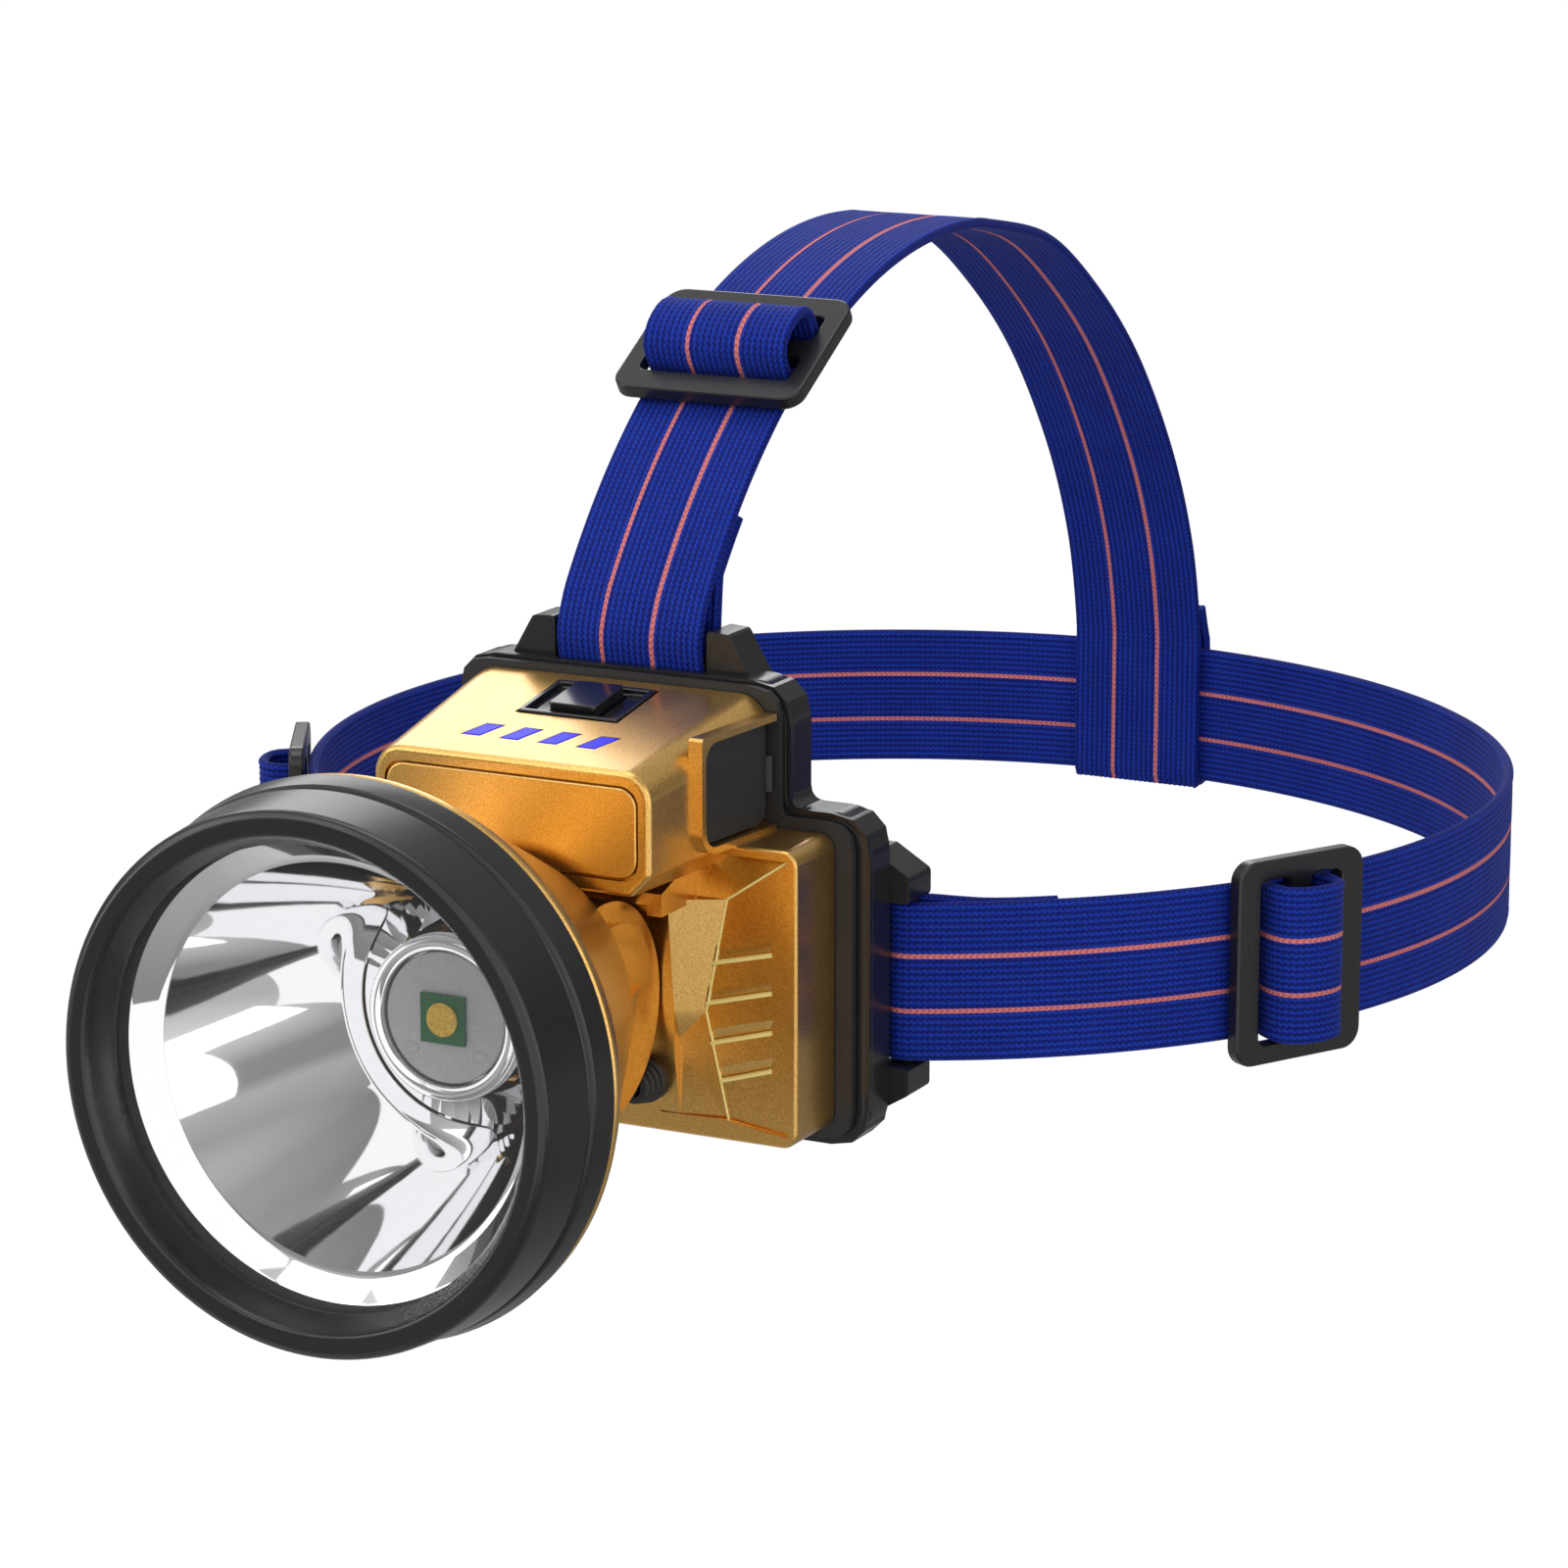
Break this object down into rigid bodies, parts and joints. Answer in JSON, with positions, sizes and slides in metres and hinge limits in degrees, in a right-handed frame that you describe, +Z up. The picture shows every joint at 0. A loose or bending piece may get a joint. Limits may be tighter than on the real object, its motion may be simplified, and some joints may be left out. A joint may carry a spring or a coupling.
{
  "type": "headlamp",
  "caption": "Head-worn spot lamp: a deep reflector head that tilts on a stepped plated housing, with an elastic headband, an over-the-head strap and webbing sliders.",
  "frame": {"origin": "centre of the headband loop, at the middle of the band's width", "axes": "+Z up, the lamp shines along -Y, +X is to the right of someone who faces the lamp"},
  "size_m": [0.2062, 0.3029, 0.1427],
  "materials": {
    "plated_plastic": "satin",
    "black_plastic": "gloss",
    "rubber": "satin",
    "plated_steel": "satin",
    "battery_sleeve": "satin",
    "circuit_board": "matte",
    "indicator_lens": "gloss",
    "lens": "polished",
    "bright_metal": "polished",
    "led_board": "satin",
    "led_package": "satin",
    "led_phosphor": "matte",
    "webbing": "matte"
  },
  "bodies": {
    "housing": {"front_housing": "plated_plastic", "front_trim_plate": "plated_plastic", "housing_gasket": "rubber", "back_cover": "black_plastic", "cover_screw_1": "plated_steel", "cover_screw_2": "plated_steel", "cover_screw_3": "plated_steel", "cover_screw_4": "plated_steel", "switch_panel": "black_plastic", "button_switch": "plated_steel", "control_board": "circuit_board", "indicator_1": "indicator_lens", "indicator_2": "indicator_lens", "indicator_3": "indicator_lens", "indicator_4": "indicator_lens", "battery_cell": "battery_sleeve", "battery_tab_left": "plated_steel", "battery_tab_right": "plated_steel", "charge_socket": "plated_steel", "hinge_pin": "plated_steel", "friction_washer_left": "plated_steel", "friction_washer_right": "plated_steel", "cable_boot": "rubber", "lamp_lead": "rubber", "headband": "webbing", "top_strap": "webbing"},
    "lamp_head": {"bezel_ring": "black_plastic", "lens_gasket": "rubber", "lens": "lens", "reflector": "bright_metal", "lamp_cup": "plated_plastic", "led_collar": "bright_metal", "led_board": "led_board", "led_package": "led_package", "led_phosphor": "led_phosphor", "heat_sink": "led_board"},
    "power_button": {"power_button": "rubber"},
    "port_cover": {"port_cover": "rubber"},
    "slider_right": {"slider_right": "black_plastic", "slack_loop_right": "webbing"},
    "slider_left": {"slider_left": "black_plastic", "slack_loop_left": "webbing"},
    "slider_top": {"slider_top": "black_plastic", "slack_loop_top": "webbing"}
  },
  "joints": [
    {"name": "head_tilt", "type": "hinge", "parent": "housing", "child": "lamp_head", "pos_m": [0, -0.136, 0.002], "axis": [1, 0, 0], "range_deg": [0, 60], "deforming": ["lamp_lead"]},
    {"name": "power_button_press", "type": "slide", "parent": "housing", "child": "power_button", "axis": [0, 0.1644, -0.9864], "range_m": [0, 0.0008], "stiffness_N_per_m": 400},
    {"name": "port_cover_hinge", "type": "hinge", "parent": "housing", "child": "port_cover", "pos_m": [0.02642, -0.105, 0.0338], "axis": [0, 0, 1], "range_deg": [0, 90]},
    {"name": "slider_right_slide", "type": "hinge", "parent": "housing", "child": "slider_right", "pos_m": [0, 0, 0], "axis": [0, 0, 1], "range_deg": [-24, 45]},
    {"name": "slider_left_slide", "type": "hinge", "parent": "housing", "child": "slider_left", "pos_m": [0, 0, 0], "axis": [0, 0, 1], "range_deg": [-45, 24]},
    {"name": "slider_top_slide", "type": "hinge", "parent": "housing", "child": "slider_top", "pos_m": [0, -0.0079, -0.0045], "axis": [1, 0, 0], "range_deg": [-28, 18]}
  ]
}
